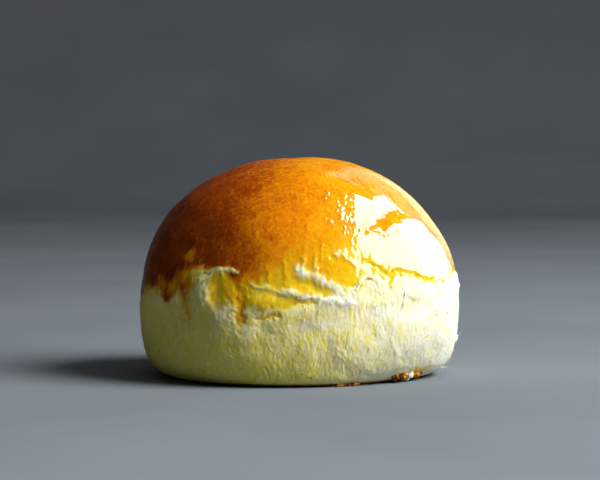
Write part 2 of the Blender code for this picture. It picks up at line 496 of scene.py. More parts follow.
class Value:
    """A shader socket with arithmetic: an expression on values adds the Math nodes that work it out."""

    def __init__(self, shader: "Shader", socket: bpy.types.NodeSocket) -> None:
        """Wraps an output socket of the shader."""
        self.shader = shader
        self.socket = socket

    def __add__(self, other: "Value | float") -> "Value":
        """The sum."""
        return self.shader.maths("ADD", self, other)

    def __sub__(self, other: "Value | float") -> "Value":
        """The difference."""
        return self.shader.maths("SUBTRACT", self, other)

    def __rsub__(self, other: float) -> "Value":
        """The difference from a number."""
        return self.shader.maths("SUBTRACT", other, self)

    def __mul__(self, other: "Value | float") -> "Value":
        """The product."""
        return self.shader.maths("MULTIPLY", self, other)

    __radd__ = __add__
    __rmul__ = __mul__


class Shader:
    """A material under construction, with one Principled shader at its end."""

    def __init__(self, name: str, **fixed: float | Colour) -> None:
        """Starts the material.

        Args:
            name: the material's name.
            fixed: the shader's constant sockets, with underscores for spaces.
        """
        self.material = bpy.data.materials.new(name)
        self.material.use_nodes = True
        self.tree = self.material.node_tree
        self.tree.nodes.clear()
        self.surface = self.node("ShaderNodeBsdfPrincipled")
        for key, value in fixed.items():
            self.surface.inputs[key.replace("_", " ")].default_value = value
        output = self.node("ShaderNodeOutputMaterial")
        self.tree.links.new(self.surface.outputs["BSDF"], output.inputs["Surface"])
        self.place = self.out(self.node("ShaderNodeTexCoord"), "Object")

    def node(self, kind: str, settings: dict[str, object] | None = None,
             inputs: dict[str, object] | None = None) -> bpy.types.Node:
        """Adds a node.

        Args:
            kind: the node's type.
            settings: its properties, which are set first.
            inputs: values or links for its sockets, by socket name or number.

        Returns:
            The node.
        """
        made = self.tree.nodes.new(kind)
        for key, value in (settings or {}).items():
            if key == "stops":
                self.set_stops(made.color_ramp, value)
            else:
                setattr(made, key, value)
        for key, value in (inputs or {}).items():
            socket = made.inputs[key]
            if isinstance(value, Value):
                self.tree.links.new(value.socket, socket)
            else:
                socket.default_value = value
        return made

    def set_stops(self, colours: bpy.types.ColorRamp, stops: tuple[tuple[float, Colour], ...]) -> None:
        """Gives a colour ramp its stops, each a place and a colour."""
        while len(colours.elements) < len(stops):
            colours.elements.new(0.5)
        for element, (place, colour) in zip(colours.elements, stops):
            element.position = place
            element.color = (*colour, 1.0)

    def out(self, node: bpy.types.Node, name: str | int = 0) -> Value:
        """One of a node's outputs."""
        return Value(self, node.outputs[name])

    def maths(self, operation: str, *values: Value | float) -> Value:
        """The result of one Math node on the values."""
        return self.out(self.node("ShaderNodeMath", {"operation": operation}, dict(enumerate(values))))

    def attribute(self, name: str) -> Value:
        """A number that the mesh carries at each point."""
        return self.out(self.node("ShaderNodeAttribute", {"attribute_name": name}), "Fac")

    def stretched(self, size: Size) -> Value:
        """The place, with each axis divided by a size in millimetres, so a texture's cell has that size."""
        sizes = size if isinstance(size, tuple) else (size, size, size)
        inputs = {"Vector": self.place, "Scale": tuple(1 / (axis * MM) for axis in sizes)}
        return self.out(self.node("ShaderNodeMapping", {"vector_type": "POINT"}, inputs))

    def noise(self, size: Size, detail: float = 2, warp: float = 0) -> Value:
        """Noise from 0 to 1, with cells of the given size in millimetres."""
        inputs = {"Vector": self.stretched(size), "Scale": 1.0, "Detail": float(detail), "Distortion": warp}
        return self.out(self.node("ShaderNodeTexNoise", {"noise_dimensions": "3D"}, inputs), 0)

    def dots(self, spacing: float) -> Value:
        """Distance from the nearest of many scattered points, as a share of their spacing in millimetres."""
        inputs = {"Vector": self.stretched(spacing), "Scale": 1.0}
        return self.out(self.node("ShaderNodeTexVoronoi", {"feature": "F1"}, inputs), "Distance")

    def between(self, value: Value, low: float, high: float, start: float = 0, end: float = 1) -> Value:
        """Goes smoothly from start where the value is low to end where it is high."""
        settings = {"interpolation_type": "SMOOTHSTEP", "clamp": True}
        inputs = {"Value": value, "From Min": low, "From Max": high, "To Min": start, "To Max": end}
        return self.out(self.node("ShaderNodeMapRange", settings, inputs))

    def blend(self, share: Value | float, first: Value | Colour, second: Value | Colour) -> Value:
        """A colour between two others."""
        colours = [c if isinstance(c, Value) else (*c, 1.0) for c in (first, second)]
        settings = {"data_type": "RGBA", "clamp_factor": True}
        mixed = self.node("ShaderNodeMix", settings, {0: share, 6: colours[0], 7: colours[1]})
        return self.out(mixed, 2)

    def gradient(self, value: Value, stops: tuple[tuple[float, Colour], ...]) -> Value:
        """A colour read from a row of stops, each with its place and colour."""
        return self.out(self.node("ShaderNodeValToRGB", {"stops": stops}, {0: value}))

    def feed(self, **inputs: Value) -> None:
        """Links values to the shader's own sockets, named with underscores for spaces."""
        for key, value in inputs.items():
            self.tree.links.new(value.socket, self.surface.inputs[key.replace("_", " ")])

    def bump(self, height: Value, distance: float) -> None:
        """Feeds the shader's Normal with a bump of the height, whose 1 stands for the distance."""
        inputs = {"Height": height, "Distance": distance, "Strength": 1.0}
        self.feed(Normal=self.out(self.node("ShaderNodeBump", None, inputs)))


@dataclass(frozen=True)
class BunFinish:
    """Skin and torn crumb in one finish, which crust and crumb share so that their seam doesn't show.

    The skin goes from yellow through gold and amber to brown as it baked, under a glaze of egg wash. The
    crumb is matte, with painted light and shade: pale where the key light falls, deep yellow on the shaded
    side and low down. It has paler flecks and yellow blotches, and is browned at the foot. Each row of the
    mottling is a noise's size, detail, warp and strength.
    """

    name: str
    stops: tuple[tuple[float, Colour], ...] = (
        (0.00, (0.90, 0.60, 0.016)),
        (0.14, (0.89, 0.48, 0.007)),
        (0.34, (0.84, 0.36, 0.004)),
        (0.52, (0.76, 0.225, 0.002)),
        (0.72, (0.38, 0.062, 0.002)),
        (1.00, (0.12, 0.018, 0.002)),
    )
    # Pale dots on the crust: partly lighter spots, partly painted glints of the blisters.
    freckle_glint: Colour = (0.92, 0.50, 0.06)
    # Painted light and shade: the crumb's colour where the key light falls, and where shade falls.
    crumb_where_lit: Colour = (0.87, 0.855, 0.75)
    crumb_in_shade: Colour = (0.90, 0.775, 0.19)
    fleck: Colour = (0.95, 0.92, 0.70)
    blotch: Colour = (0.86, 0.74, 0.07)
    foot: Colour = (0.44, 0.20, 0.035)
    glaze: float = 0.35
    mottling: tuple[tuple[Size, float, float, float], ...] = (
        (9, 3, 0.6, 0.34), ((1.7, 1.7, 3.2), 3, 0.8, 0.36), (0.7, 2, 0, 0.30),
    )

    def skin_colour(self, made: Shader) -> Value:
        """Colour by how far the skin baked, mottled at three sizes, with pale dots that are partly painted
        glints.
        """
        level = made.attribute("bake")
        for size, detail, warp, strength in self.mottling:
            level = level + (made.noise(size, detail, warp) - 0.5) * strength
        colour = made.gradient(level, self.stops)
        clusters = made.between(made.noise(5, 2), 0.4, 0.7)
        # Clustered pale dots, partly painted glints standing in for the blisters' sparkle.
        freckles_and_glints = made.between(made.dots(0.95), 0.10, 0.32, 1, 0) * clusters
        return made.blend(freckles_and_glints * 0.3, colour, self.freckle_glint)

    def crumb_colour(self, made: Shader, fibres: Value, ragged: Value) -> Value:
        """Pale where the key light falls and yellow in painted shade, with yellow blotches, pale fibres and
        the browned foot.
        """
        # The painted shade, 0 where the key light falls and 1 in shade.
        shade_tint = made.attribute("shade_tint")
        blotches = made.noise((1.9, 1.9, 3.4), 4, 1.2)
        colour = made.blend(shade_tint, self.crumb_where_lit, self.crumb_in_shade)
        # Yellow blotches, stronger where the painted shade is deeper.
        colour = made.blend(made.between(blotches, 0.45, 0.65) * (0.25 + shade_tint * 0.65), colour, self.blotch)
        colour = made.blend(made.between(fibres, 0.50, 0.75) * 0.45, colour, self.fleck)
        return made.blend(made.between(made.attribute("foot") + ragged * 0.5, 0.3, 0.8), colour, self.foot)

    def material(self) -> bpy.types.Material:
        """The finish as a material."""
        made = Shader(self.name, IOR=1.4, Specular_IOR_Level=0.0, Coat_Roughness=0.07, Coat_IOR=2.0,
                      Subsurface_Weight=0.3, Subsurface_Radius=(1.0, 0.65, 0.25), Subsurface_Scale=1.8 * MM)
        fibres = made.noise((0.6, 0.6, 1.7), 3, 0.9)
        cells = made.noise(0.9, 3, 0.5)
        ragged = made.noise((1.0, 1.0, 2.2), 3, 0.7) - 0.5
        skin = made.between(made.attribute("skin") + ragged * 1.1, 0.12, 0.88)
        crumb = 1 - skin
        colour = made.blend(skin, self.crumb_colour(made, fibres, ragged), self.skin_colour(made))
        made.feed(Base_Color=colour, Roughness=0.42 + crumb * 0.3 + cells * 0.2,
                  Coat_Weight=skin * made.attribute("gloss") * self.glaze)
        blister = made.attribute("blister")
        beads = made.between(made.dots(0.62), 0.05, 0.42, 1, 0) * made.between(made.noise(1.3, 2), 0.42, 0.6)
        height = skin * (blister * (beads * 1.1 + made.noise(0.6, 2) * 0.5) + made.noise(0.35, 1) * 0.04)
        torn = fibres * 0.8 + cells * 0.55 + made.noise(0.35, 2) * 0.5
        made.bump(height + crumb * torn, 0.10 * MM)
        return made.material


@dataclass(frozen=True)
class BitFinish:
    """Caramelised dough: red-brown to nearly black, a little shiny."""

    pale: Colour = (0.72, 0.30, 0.012)
    dark: Colour = (0.13, 0.030, 0.004)

    def material(self) -> bpy.types.Material:
        """The bits' material."""
        made = Shader("baked_bits", Specular_IOR_Level=0.06, Subsurface_Weight=0.1, Subsurface_Scale=1 * MM)
        burnt = made.noise(1.6, 3, 0.6)
        colour = made.blend(made.between(burnt, 0.38, 0.62), self.pale, self.dark)
        made.feed(Base_Color=colour, Roughness=0.35 + burnt * 0.4)
        made.bump(made.noise(0.4, 3), 0.12 * MM)
        return made.material


@dataclass(frozen=True)
class PlainFinish:
    """A plain matte surface with faint mottling, for the floor."""

    name: str
    light: Colour
    dark: Colour
    mottle: float
    roughness: float = 0.8

    def material(self) -> bpy.types.Material:
        """The plain material."""
        made = Shader(self.name, Specular_IOR_Level=0.0)
        cloudy = made.noise(self.mottle, 4)
        made.feed(Base_Color=made.blend(made.between(cloudy, 0.3, 0.7), self.light, self.dark),
                  Roughness=self.roughness - cloudy * 0.1)
        return made.material


# Lines on the bun that marks of more than one kind follow, as azimuths in degrees and heights in mm.
ARCH = ((-128.5, 20.6), (-125.5, 23.4), (-121, 25.6), (-116, 26.6), (-111.8, 26.0))
LEFT_CREST = ((-106.5, 23.4), (-101.6, 22.6), (-96.5, 21.8), (-92.5, 21.5))
LOWER_CREST = ((-93, 21.6), (-88, 20.9), (-80, 20.1), (-71, 19.2))
CREASE = ((-76.2, 30.5), (-72.4, 29.0), (-68.6, 27.4))
SLIT = ((-104.2, 15.9), (-100.8, 16.2), (-96.8, 16.6))
FOLD = ((-134, 22), (-132.2, 19), (-131, 15.6))
BACK_TEAR = ((38, 25), (44, 24.3), (51, 24.6))


@dataclass(frozen=True)
class Site:
    """A net laid on the form: its points, azimuths and arc lengths above the edge.

    The place is each point's azimuth and height, moved about by noise so that marks read there are ragged.
    """

    points: Array
    azimuth: Array
    above: Array
    place: tuple[Array, Array]

    @property
    def height(self) -> Array:
        """Heights of the points."""
        return self.points[..., 2]


@dataclass(frozen=True)
class Surface:
    """The bun's surface as it baked and tore. Crust and crumb both read it, so they meet without a step.

    Skin bands lower the seam where more skin shows, and golds say how far pale skin reaches up. Skins lie on
    the crumb, torn lines lay it bare and cracks run through it; three of those lines are painted highlights
    on folds of the skin, which show the crumb's pale colour. Spots are baked more or less, dulls have no egg
    wash, ridges stand out, hollows lie in, and the whiter crests are paler crumb, partly painted light on
    raised lumps. Ridges and hollows are in millimetres.
    """

    form: BunForm
    fit: Fit
    lap: float = 1.5 * MM
    dive: float = 0.55 * MM
    least_skin: float = 0.35 * MM
    skin_bands: Bells = (
        (-52, 20, 0.75), (-76, 5, -0.5), (-17, 11, -0.7), (-148, 13, 1.3), (-124, 8, -0.5), (35, 20, 0.9),
        (95, 14, 1.2), (140, 16, 0.5),
    )
    golds: Bells = (
        (-80, 25, 11.5), (-35, 22, 5.5), (-136, 13, 1.6), (48, 24, 7.0), (100, 16, 8.0), (150, 14, 2.0),
    )
    cracks: Marks = marks(
        (((-65.6, 28.4), (-59.8, 27.1), (-54.2, 24.7), (-52.1, 25.7), (-46.8, 25.3),
          (-41.6, 24.5)), 0.5, 0.9),
        (((-41.6, 24.5), (-36, 23.4), (-32, 22.9)), 0.35, 0.75),
        (((-62.0, 26.5), (-64, 24.2), (-67.6, 22.4)), 0.45, 0.65),
        (((40, 23.5), (46, 22.2), (53, 22.8), (60, 21.6)), 0.45, 0.9),
        (((104, 22.0), (109, 20.4), (112, 17.8)), 0.45, 0.9),
    )
    tears_and_fold_highlights: Marks = marks(
        (ARCH, 0.8, 0.95), (LEFT_CREST, 0.7, 0.75),
        (((-90.4, 26.3), (-86, 25.5), (-82.2, 24.3), (-78, 23.1), (-74.5, 22.0)), 1.3, 0.75),
        # The two short upright lines after LOWER_CREST and the CREASE line are painted highlights: pale crumb
        # colour on skin folds where light catches the ridges.
        (LOWER_CREST, 0.9, 1.0), (((-88.7, 28.8), (-88.2, 25.8)), 0.6, 0.55),
        (((-83.9, 28.4), (-83.4, 24.8)), 0.6, 0.5), (CREASE, 0.5, 0.6), (BACK_TEAR, 0.5, 0.9),
        (((90, 22.5), (97, 23.2), (104, 22.6)), 0.5, 0.9),
        (((138, 21.4), (146, 22.0), (153, 20.8)), 0.5, 0.9),
    )
    skins: Marks = marks(
        (-117.2, 22.8, 4.4, 3.4, 1.8), (((-109.8, 24), (-110.2, 21)), 1.9, 1.2),
        (((-110.4, 21), (-109.8, 17.8), (-109.4, 15.4)), 0.95, 1.2), (-105.2, 20.8, 2.6, 1.6, 0.5),
        (-98.5, 19.4, 7.5, 1.6, 1.3), (SLIT, 0.42, 0.9), (FOLD, 2.0, 0.55), (-142.5, 19.6, 2.4, 1.4, 0.6),
        (-140, 24, 6, 2, 0.5), (-131.5, 22.8, 4.2, 2.6, 0.75), (-84.5, 22.6, 6.5, 1.1, 0.8, -0.18),
        (38, 20, 10, 1.4, 0.7), (74, 18, 3.0, 3.2, 0.9), (96, 18.4, 9, 1.6, 0.8), (132, 18, 4, 3, 0.9),
        (166, 16, 8, 2.4, 0.5), (-34, 2.5, 9, 0.8, 1.0, 0.05), (-66, 1.2, 5, 0.6, 0.5),
        (128, 1.6, 9, 0.9, 0.6),
    )
    spots: Marks = marks(
        (-134, 29.3, 4, 1.3, -0.45), (-142, 22.5, 9, 2.6, 0.20), (-77.5, 25.8, 5.5, 2.8, 0.15),
        (((-111.6, 26), (-111.0, 22), (-110.0, 18), (-109.5, 15.6)), 1.4, 0.24),
        (-113.5, 24.5, 1.4, 1.5, 0.28), (FOLD, 1.8, 0.34), (-142.5, 19.6, 3.6, 2.0, 0.75),
        (-106, 23.4, 3.2, 1.6, 0.12), (-132, 22.6, 4.4, 2.4, 0.26), (-88, 44, 14, 3, 0.08),
        (-36, 2.0, 6, 0.8, 0.35), (54, 1.4, 4, 0.7, 0.5),
    )
    dulls: Marks = marks(
        (((-61, 35.1), (-56, 35.4), (-50, 36.0)), 0.65, 1.0),
        (((-52, 36.5), (-46, 37.4), (-37, 38.3)), 1.35, 1.2), (((-40, 38.2), (-29, 37.7)), 0.5, 1.1),
        (((-57, 34.2), (-50, 33.7)), 0.25, 0.9), (((-66.8, 33.6), (-66.2, 30.2)), 0.3, 0.9),
        (((-62, 43.8), (-50, 44.3), (-38, 44.8)), 0.5, 1.0), (((-34, 41.3), (-32, 42.6)), 0.55, 1.1),
        (-46, 34.6, 0.7, 0.35, 1.0), (((58, 37), (66, 38.4), (71, 38.0)), 0.8, 1.0),
        (((148, 33), (154, 34.2)), 0.8, 0.9),
    )
    ridges: Marks = marks(
        (((-88.8, 29.6), (-88.0, 25.8)), 0.5, 0.22), (((-84.2, 29.0), (-83.4, 25.4)), 0.45, 0.20),
        (((-79.6, 29.2), (-79.0, 26.6)), 0.5, 0.12), (CREASE, 0.6, 0.28),
        (((-94.8, 28), (-94.2, 24)), 0.5, 0.14), (((-101, 27.4), (-100.3, 23.8)), 0.5, 0.14),
        (((-90.4, 25.9), (-86, 25.3), (-82.2, 24.1), (-78, 22.9), (-74.5, 22.0)), 1.0, 0.17),
        (LOWER_CREST, 0.9, 0.32), (LEFT_CREST, 0.5, 0.18), (ARCH, 0.6, 0.22), (-58, 45.8, 3.5, 0.8, 0.10),
        (-71.5, 38.0, 2.0, 0.9, 0.13), (-40, 47.4, 6.0, 0.6, 0.08), (-123.4, 20.2, 3.0, 2.4, 0.75),
        (-115.6, 16.2, 4.4, 3.0, 0.80, 0.2), (-103.0, 19.4, 4.5, 2.2, 0.50), (-137.4, 18.6, 3.4, 1.3, 0.40),
        (-149, 18.4, 4.0, 1.3, 0.40), (-128, 12.5, 9, 3.0, 0.30, -0.3), (-60, 19.0, 9, 1.3, 0.30, 0.05),
        (-46, 20.6, 10, 1.1, 0.28, -0.05), (-30, 17.4, 9, 1.4, 0.22), (-2, 8.4, 1.5, 0.8, 0.75),
        (-3, 20.9, 2.4, 0.6, 0.5), (25, 18, 9, 2, 0.45, 0.1), (62, 15, 8, 3, 0.45),
        (88, 17, 10, 1.2, 0.45, -0.1), (118, 16, 6, 3, 0.50), (150, 15, 9, 2.4, 0.45, 0.15),
        (((52, 29.5), (53, 25)), 0.8, 0.14), (((57.5, 28.6), (58.2, 24.6)), 0.8, 0.12),
        (((101, 28), (102, 23.6)), 0.6, 0.24), (((130, 26), (136, 28)), 0.7, 0.24), (BACK_TEAR, 0.6, 0.25),
    )
    hollows: Marks = marks(
        (((-55, 37.0), (-43, 39.4)), 1.6, 0.14), (-140, 31, 6, 1.6, 0.20), (60, 38, 6, 2.2, 0.24),
        (150, 34, 5, 1.8, 0.22), (105, 30, 8, 1.2, 0.18, -0.1), (-118, 22.4, 3.0, 2.8, 0.22),
        (((-132.6, 21), (-131.2, 18), (-130, 14.6)), 1.1, 0.36),
        (((-110.6, 22), (-109.6, 17.6), (-109.5, 15.4)), 1.1, 0.20), (SLIT, 0.45, 0.30),
        (-84.5, 22.6, 6.0, 0.9, 0.28, -0.18), (74, 18, 2.4, 3.4, 0.45), (132, 18, 3.0, 2.6, 0.45),
    )
    # Whiter crumb on the raised lumps and crests, lifting the painted shade: partly paler torn crumb, partly
    # painted light.
    whiter_crests_and_painted_light: Marks = marks(
        (-123.4, 20.4, 2.6, 2.2, 0.4), (-115.6, 16.4, 3.6, 2.6, 0.45, 0.2), (-137.6, 19.4, 3.0, 1.2, 0.5),
        (-149, 19.2, 3.6, 1.2, 0.5), (-107, 13.0, 5.0, 1.3, 0.3, 0.3), (ARCH, 0.9, 0.3),
        (LOWER_CREST, 1.0, 0.5), (((-90.4, 26.3), (-82.2, 24.3), (-74.5, 22.0)), 1.3, 0.45),
        (((-62, 17.4), (-50, 15.6), (-36, 16.6)), 1.1, 0.4), (-84, 14.4, 7, 1.0, 0.4, 0.05),
        (24, 16, 10, 2.4, 0.5), (116, 15, 9, 3.0, 0.5), (152, 14, 9, 2.0, 0.5),
    )
    loose_skin: Patch = Patch(-150, 20, 34, 20, 1.9)
    blistered_side: Patch = Patch(-75.5, 37.5, 10.5, 9.5, 1.5)
    smooth_side: Patch = Patch(-42, 34, 17, 9, 0.85)
    blend: float = 1.1 * MM
    crack_depth: float = 0.42 * MM
    blister_height: float = 0.22 * MM
    layer_step: float = 3.4 * MM
    layer_height: float = 0.11 * MM
    cell_depth: float = 0.16 * MM
    # The left side, turned from the key light, where the crust is baked browner: partly its own browning,
    # partly painted shade.
    shaded_side: tuple[float, float, float] = (-0.90, 0.05, 0.25)
    shaded_side_middle: tuple[float, float, float] = (0, 0, 14 * MM)
    aside: tuple[Grain, ...] = (Grain(51, 2.2, 0.75 * MM, 2), Grain(53, 0.8, 0.45 * MM))
    upward: tuple[Grain, ...] = (Grain(52, 2.4, 0.70 * MM, 2), Grain(54, 0.8, 0.40 * MM))
    edge_grain: Grain = Grain(131, (2.4, 2.4, 2.8), 1.3 * MM, 3)
    tear_grain: Grain = Grain(134, 1.3, 0.55, 2)
    blister_spread: Grain = Grain(141, 9, layers=2)
    blister_gaps: Grain = Grain(143, 4, layers=2)
    bake_grain: Grain = Grain(151, (2.4, 2.4, 4.5), 1.6 * MM, 3)
    brushed: tuple[Grain, ...] = (Grain(146, 0.8), Grain(147, (2.4, 2.4, 0.7)))
    dents: Grain = Grain(11, 9, 0.09 * MM, 2)
    pits: Grain = Grain(15, 2.6, 0.03 * MM, 2)
    blisters: Grain = Grain(21, 0.9)
    wrinkles: Grain = Grain(31, (1.5, 1.5, 5), 0.08 * MM, 2)
    creases: Grain = Grain(41, (3.2, 3.2, 5), 0.07 * MM)
    bends: tuple[Grain, ...] = tuple(Grain(seed, 6, 1.6 * MM) for seed in (61, 62, 63))
    puffs: tuple[Grain, ...] = (
        Grain(71, (5.0, 5.0, 7.5), 0.26 * MM),
        Grain(72, (2.3, 2.3, 3.6), 0.11 * MM),
        Grain(73, (0.85, 0.85, 2.0), 0.055 * MM, 2),
    )
    layer_shift: Grain = Grain(75, (2.6, 2.6, 6), 1.7)
    layer_spread: Grain = Grain(76, 6.5)
    cells: Grain = Grain(77, (1.0, 1.0, 1.7))
    crumb_grain: Grain = Grain(78, 0.6, 0.045 * MM)
    ledges: Grain = Grain(136, 7, 0.20 * MM)

    def seam(self, azimuth: Array) -> Array:
        """Arc length from the form's edge at which crust and crumb meet: lower where more skin shows."""
        return -np.maximum(self.least_skin + bells(self.skin_bands, azimuth), -0.3 * MM)

    def site(self, azimuth: Array, above: Array) -> Site:
        """The net laid on the form."""
        points = self.fit.apply(self.form.surface(azimuth, above + self.form.edge_arc(azimuth)))
        aside, up = (sum(grain.at(points) for grain in grains) for grains in (self.aside, self.upward))
        return Site(points, azimuth, above, (azimuth + aside / SIDE_RADIUS, points[..., 2] + up))

    def covered(self, site: Site) -> Array:
        """How far skin covered the crumb before it tore: it rises across the seam, with patches below."""
        soft = MM * self.loose_skin.cover(site.azimuth, site.height)
        away = site.above - self.seam(site.azimuth) + self.edge_grain.at(site.points)
        return np.clip(ramp(away, -self.blend - soft, self.blend) + covers(self.skins, *site.place), 0, 1)

    def skin(self, site: Site) -> Array:
        """How far skin covers the crumb, from 0 to 1: the covered share, less the torn lines and painted fold
        highlights, plus the cracks.
        """
        # Bare crumb where torn, and painted highlights on the skin folds.
        torn = np.clip(covers(self.tears_and_fold_highlights, *site.place) * (0.85 + self.tear_grain.at(site.points)), 0, 1)
        return np.clip(self.covered(site) * (1 - torn) + covers(self.cracks, *site.place), 0, 1)

    def blistered(self, site: Site) -> Array:
        """How blistered the crust is, from 0.05 to 1: most beside the window's light on the front."""
        spread = ramp(self.blister_spread.at(site.points), 0.0, 0.6)
        beside = self.blistered_side.cover(site.azimuth, site.height)
        beside *= ramp(self.blister_gaps.at(site.points), -0.35, 0.25)
        smooth = self.smooth_side.cover(site.azimuth, site.height)
        return np.clip(0.14 + 0.34 * spread + beside - smooth, 0.05, 1)

    def bake(self, site: Site) -> Array:
        """How far each place is baked, from 0 for pale skin to 1 for brown.

        It rises from the mean height of the edge nearby, over the reach of the gold there, and it is
        higher on the left, the side turned from the key light: partly the crust's own deeper browning there,
        partly painted shade.
        """
        reach = bells(self.golds, site.azimuth)
        nearby = [self.form.edge_height(site.azimuth + math.radians(turn)) for turn in range(-15, 16, 3)]
        away = 0.6 * (site.height - np.mean(nearby, axis=0)) + 0.4 * site.above
        away += self.bake_grain.at(site.points)
        risen = ramp(away, 0.45 * reach - 2.2 * MM, 0.8 * MM + reach * 1.3)
        facing = unit(site.points - np.array(self.shaded_side_middle)) @ unit(np.array(self.shaded_side))
        # Browner towards the shaded left: partly real browning, partly painted shade.
        shaded_browning = ramp(facing, -0.02, 0.80)
        level = 0.43 * risen + 0.42 * risen * shaded_browning + covers(self.spots, *site.place)
        cracked = np.clip(covers(self.cracks, *site.place), 0, 1)
        return np.clip(level * (1 - 0.6 * cracked) + 0.04 * cracked, 0, 1)

    def gloss(self, site: Site) -> Array:
        """How thick the egg wash lies, from 0 where the brush missed to 1."""
        missed = covers(self.dulls, *site.place) + covers(self.cracks, *site.place)
        brushed = sum(grain.at(site.points) for grain in self.brushed)
        return np.clip(1 - ramp(missed * (1 + 0.35 * brushed) + 0.12 * brushed, 0.35, 0.70), 0, 1)

    def crust_relief(self, site: Site) -> Array:
        """How far the skin stands out: low dents, blisters, and wrinkles that run up from the edge."""
        near = 1 - ramp(site.above, 0.5 * MM, 8 * MM)
        blistered = self.blistered(site)
        out = self.dents.at(site.points) + (0.4 + blistered) * self.pits.at(site.points)
        out += self.blister_height * blistered * ramp(self.blisters.at(site.points), 0.08, 0.75)
        return out + near * (self.wrinkles.at(site.points) - np.abs(self.creases.at(site.points)))

    def crumb_relief(self, points: Array) -> Array:
        """How far the torn crumb stands out.

        Soft puffs, upright fibres, ledges where a layer tore off (a sawtooth up the side, shifted by noise)
        and small open cells, all on places warped by noise.
        """
        place = points + np.stack([grain.at(points) for grain in self.bends], axis=-1)
        stair = points[..., 2] / self.layer_step + self.layer_shift.at(place)
        torn = ramp(self.layer_spread.at(points), -0.1, 0.5)
        out = sum(grain.at(place) for grain in self.puffs)
        out += self.layer_height * torn * ((stair - np.floor(stair)) ** 2 - 0.33)
        out -= self.cell_depth * ramp(self.cells.at(place), 0.40, 0.85)
        return out + self.crumb_grain.at(points)

    def relief(self, site: Site) -> Array:
        """How far the surface stands out from the form.

        It is the skin's relief where skin covered it and the crumb's elsewhere, with the named ridges,
        hollows and cracks, all faded towards the foot.
        """
        skin = self.covered(site)
        out = skin * self.crust_relief(site) + (1 - skin) * self.crumb_relief(site.points)
        out += MM * (covers(self.ridges, *site.place) - covers(self.hollows, *site.place))
        out += (skin - 0.5) * self.ledges.at(site.points)
        out -= self.crack_depth * covers(self.cracks, *site.place)
        return out * ramp(site.height, 0.2 * MM, 2.6 * MM)

    def painted_shade_tint(self, azimuth: Array, height: Array) -> Array:
        """Painted shade: how yellow the crumb is, 0 at the lit right, more to the left and low down, less on
        crests.
        """
        shade_tint = 1.3 * np.abs(np.sin((azimuth + math.radians(10)) / 2)) ** 1.5
        shade_tint += 0.25 * (1 - ramp(height, 3 * MM, 15 * MM)) * ramp(shade_tint, 0.2, 0.7)
        return np.clip(shade_tint - covers(self.whiter_crests_and_painted_light, azimuth, height), 0, 1)

    def shaped(self, azimuth: Array, above: Array, depth: Array) -> tuple[Array, dict[str, Array]]:
        """A net's finished points, and by name the attributes that the finish reads there.

        Args:
            azimuth: angles in radians.
            above: arc lengths above the edge.
            depth: how far each point lies below the surface.

        Returns:
            Positions and attributes.
        """
        site = self.site(azimuth, above)
        out = self.relief(site) - depth
        return site.points + outward_normals(site.points) * out[..., None], {
            "skin": self.skin(site),
            "bake": self.bake(site),
            "gloss": self.gloss(site),
            "blister": self.blistered(site),
            "foot": 1 - ramp(site.height, 0.1 * MM, 1.5 * MM),
            "shade_tint": self.painted_shade_tint(azimuth, site.height),
        }


@dataclass(frozen=True)
class Crust:
    """The domed crust: a shell whose rim dives under the torn crumb's surface."""

    surface: Surface
    columns: int = 600
    dome_rows: int = 148
    rim_rows: int = 7
    wall_rows: int = 4
    rim_radius: float = 0.2 * MM
    row_crowding: float = 0.72

    def net(self) -> tuple[Array, Array, Array]:
        """Azimuth, arc length from the edge and depth below the surface of each row and column.

        The rows run down the inner wall, round the rim's half circle and up the outside to the top, and
        crowd towards the rim.
        """
        form = self.surface.form
        azimuth = azimuths(self.columns)
        seam = self.surface.seam(azimuth)
        start = seam - self.surface.lap
        top = form.meridian()[2][-1] - form.edge_arc(azimuth)
        low = start + self.rim_radius
        share = np.linspace(0, 1, self.dome_rows + 1)[1:-1, None]
        share = self.row_crowding * share + (1 - self.row_crowding) * share**2
        outside = low + (top - low) * share
        turn = np.linspace(math.pi, 0, self.rim_rows)[:, None]
        rim = start + self.rim_radius * (1 - np.sin(turn))
        rim_depth = self.rim_radius * (1 - np.cos(turn)) + 0 * rim
        inner = np.linspace(0.97, 0, self.wall_rows + 1)[:-1, None]
        wall = low + (top - low) * inner
        above = np.concatenate([wall, rim, outside])
        depth = np.concatenate([np.full_like(wall, 2 * self.rim_radius), rim_depth, np.zeros_like(outside)])
        depth += self.surface.dive * (1 - ramp(above - seam, -self.surface.lap, 0.3 * self.surface.lap)) ** 2
        return np.broadcast_to(azimuth, above.shape), above, depth

    def build(self, material: bpy.types.Material) -> bpy.types.Object:
        """The crust, finished and riding on the bun."""
        return dress(closed_mesh("crust", *self.surface.shaped(*self.net())), material)


